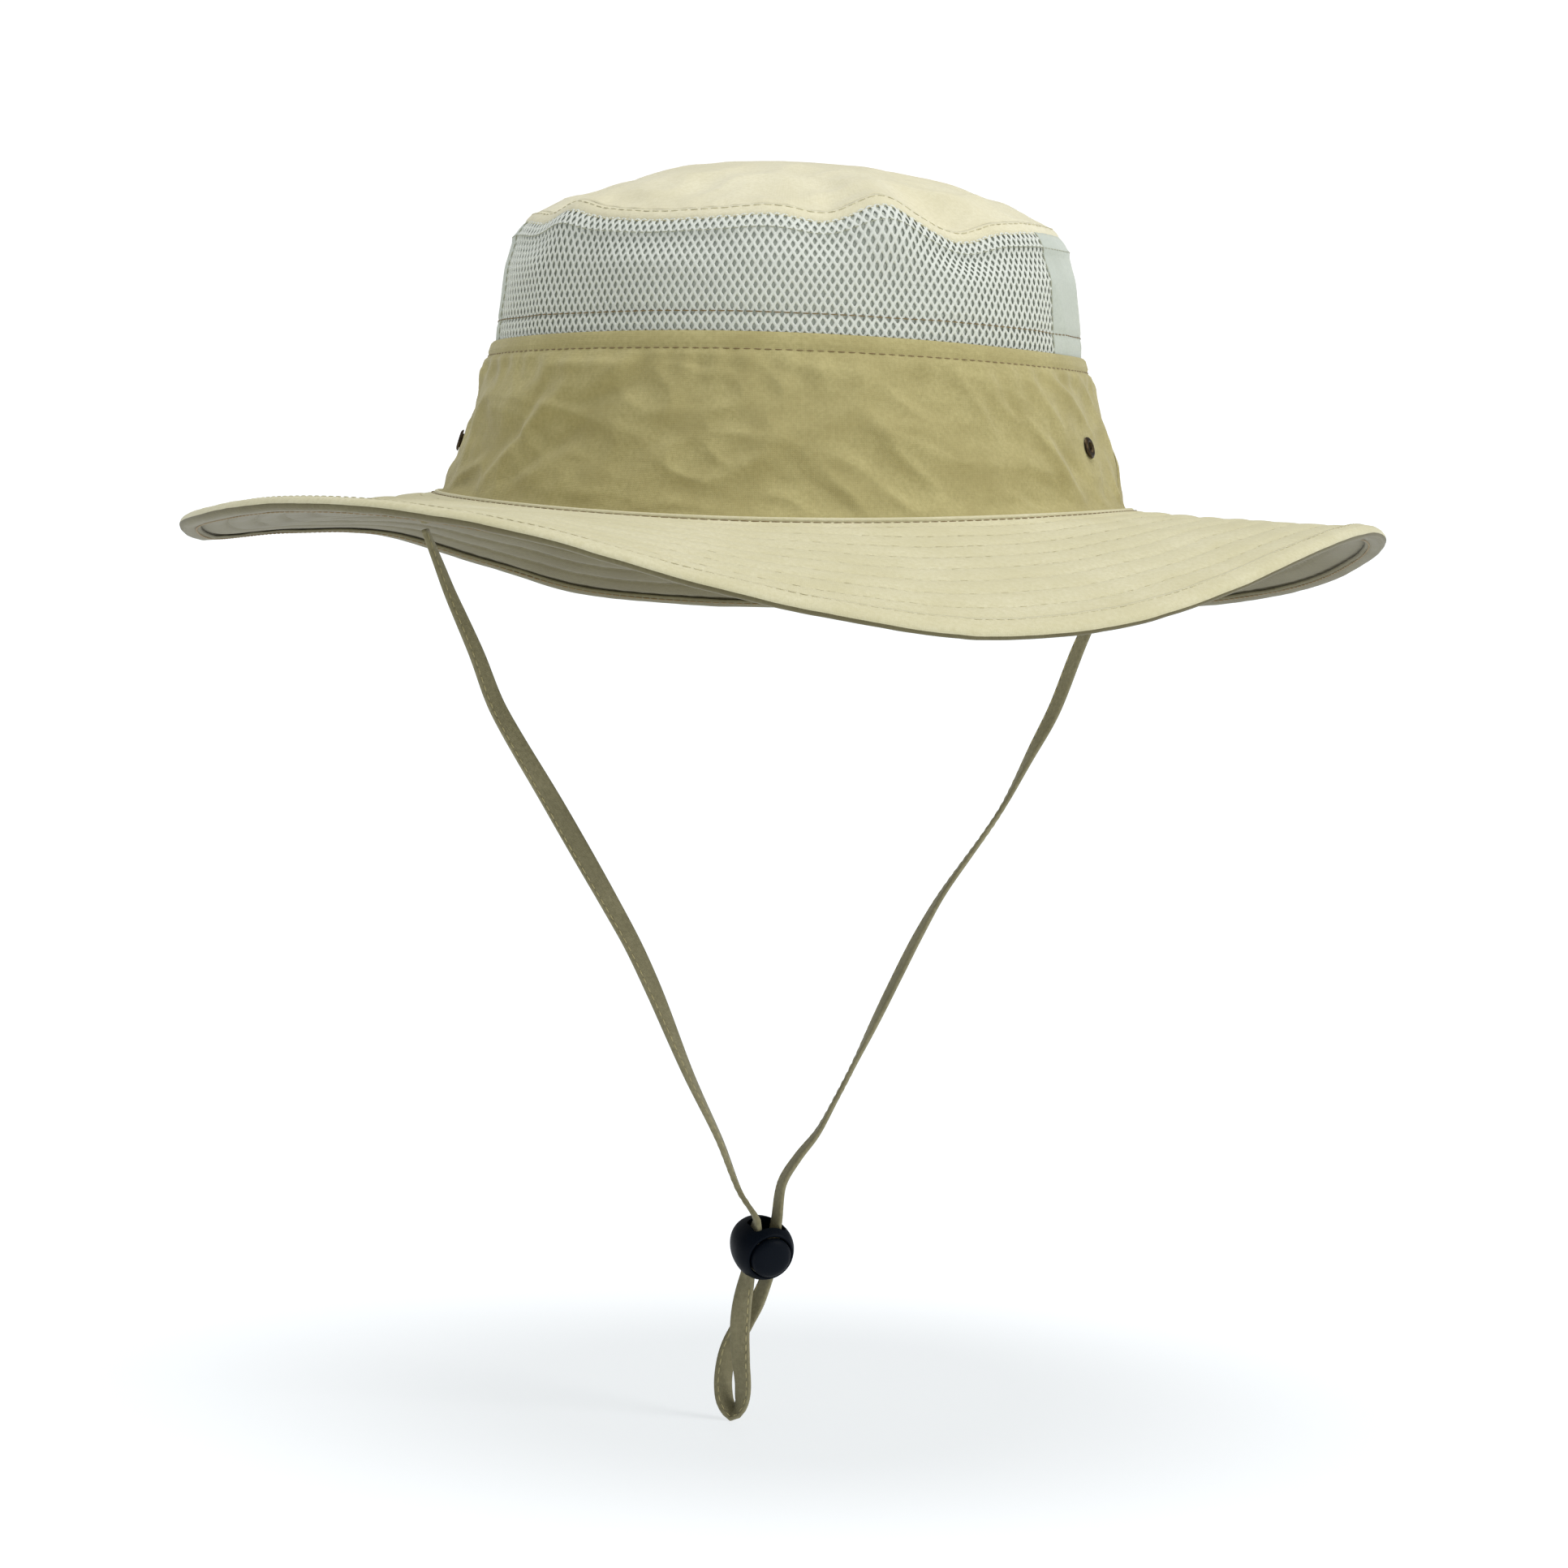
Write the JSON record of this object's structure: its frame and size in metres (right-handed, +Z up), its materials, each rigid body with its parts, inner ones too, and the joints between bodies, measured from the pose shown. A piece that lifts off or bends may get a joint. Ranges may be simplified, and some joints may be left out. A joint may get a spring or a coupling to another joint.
{
  "type": "boonie hat",
  "caption": "Wide-brimmed sun hat with a domed crown, mesh wall panels, a stitched wavy brim, and a hanging chin strap with a sprung cord lock.",
  "frame": {"origin": "centre of the head opening, level with the brim seam at the sides", "axes": "+Z up along the crown's axis, -Y to the front of the hat, +X to the wearer's left"},
  "size_m": [0.3504, 0.3646, 0.367],
  "materials": {
    "cream_cloth": "woven nylon",
    "sand_cloth": "woven nylon, crumpled",
    "pale_mesh": "knitted mesh",
    "pale_cloth": "woven nylon",
    "under_cloth": "woven nylon",
    "seam_tape": "woven tape",
    "interlining": "stiff non-woven",
    "sweatband_cloth": "soft woven",
    "strap_cloth": "folded and sewn nylon",
    "antique_brass": "antiqued",
    "navy_plastic": "moulded",
    "spring_steel": "drawn wire"
  },
  "bodies": {
    "hat": {"crown_top": "cream_cloth", "crown_seam_tape": "sand_cloth", "crown_inner_tape": "seam_tape", "mesh_front": "pale_mesh", "mesh_back": "pale_mesh", "side_panel_left": "pale_cloth", "side_panel_right": "pale_cloth", "band_front": "sand_cloth", "band_back": "sand_cloth", "sweatband": "sweatband_cloth", "brim_upper": "sand_cloth", "brim_interlining": "interlining", "brim_lower": "under_cloth", "brim_edge_binding": "sand_cloth", "eyelet_front_left": "antique_brass", "eyelet_back_left": "antique_brass", "eyelet_back_right": "antique_brass", "eyelet_front_right": "antique_brass", "eyelet_washer_front_left": "antique_brass", "eyelet_washer_back_left": "antique_brass", "eyelet_washer_back_right": "antique_brass", "eyelet_washer_front_right": "antique_brass", "strap_end_left": "strap_cloth", "strap_end_right": "strap_cloth"},
    "strap": {"chin_strap": "strap_cloth"},
    "lock": {"cord_lock_body": "navy_plastic", "cord_lock_spring": "spring_steel"},
    "button": {"cord_lock_button": "navy_plastic"}
  },
  "joints": [
    {"name": "strap_swing", "type": "hinge", "parent": "hat", "child": "strap", "pos_m": [0, -0.0194, -0.0099], "axis": [1, 0, 0], "range_deg": [-60, 60]},
    {"name": "lock_slide", "type": "slide", "parent": "strap", "child": "lock", "axis": [0.1549, -0.2479, 0.9563], "range_m": [-0.02, 0.006], "deforming": ["chin_strap"]},
    {"name": "button_press", "type": "slide", "parent": "lock", "child": "button", "axis": [-0.5067, 0.811, 0.2924], "range_m": [0, 0.0022], "stiffness_N_per_m": 400, "springref_m": -0.003, "deforming": ["cord_lock_spring"]}
  ]
}
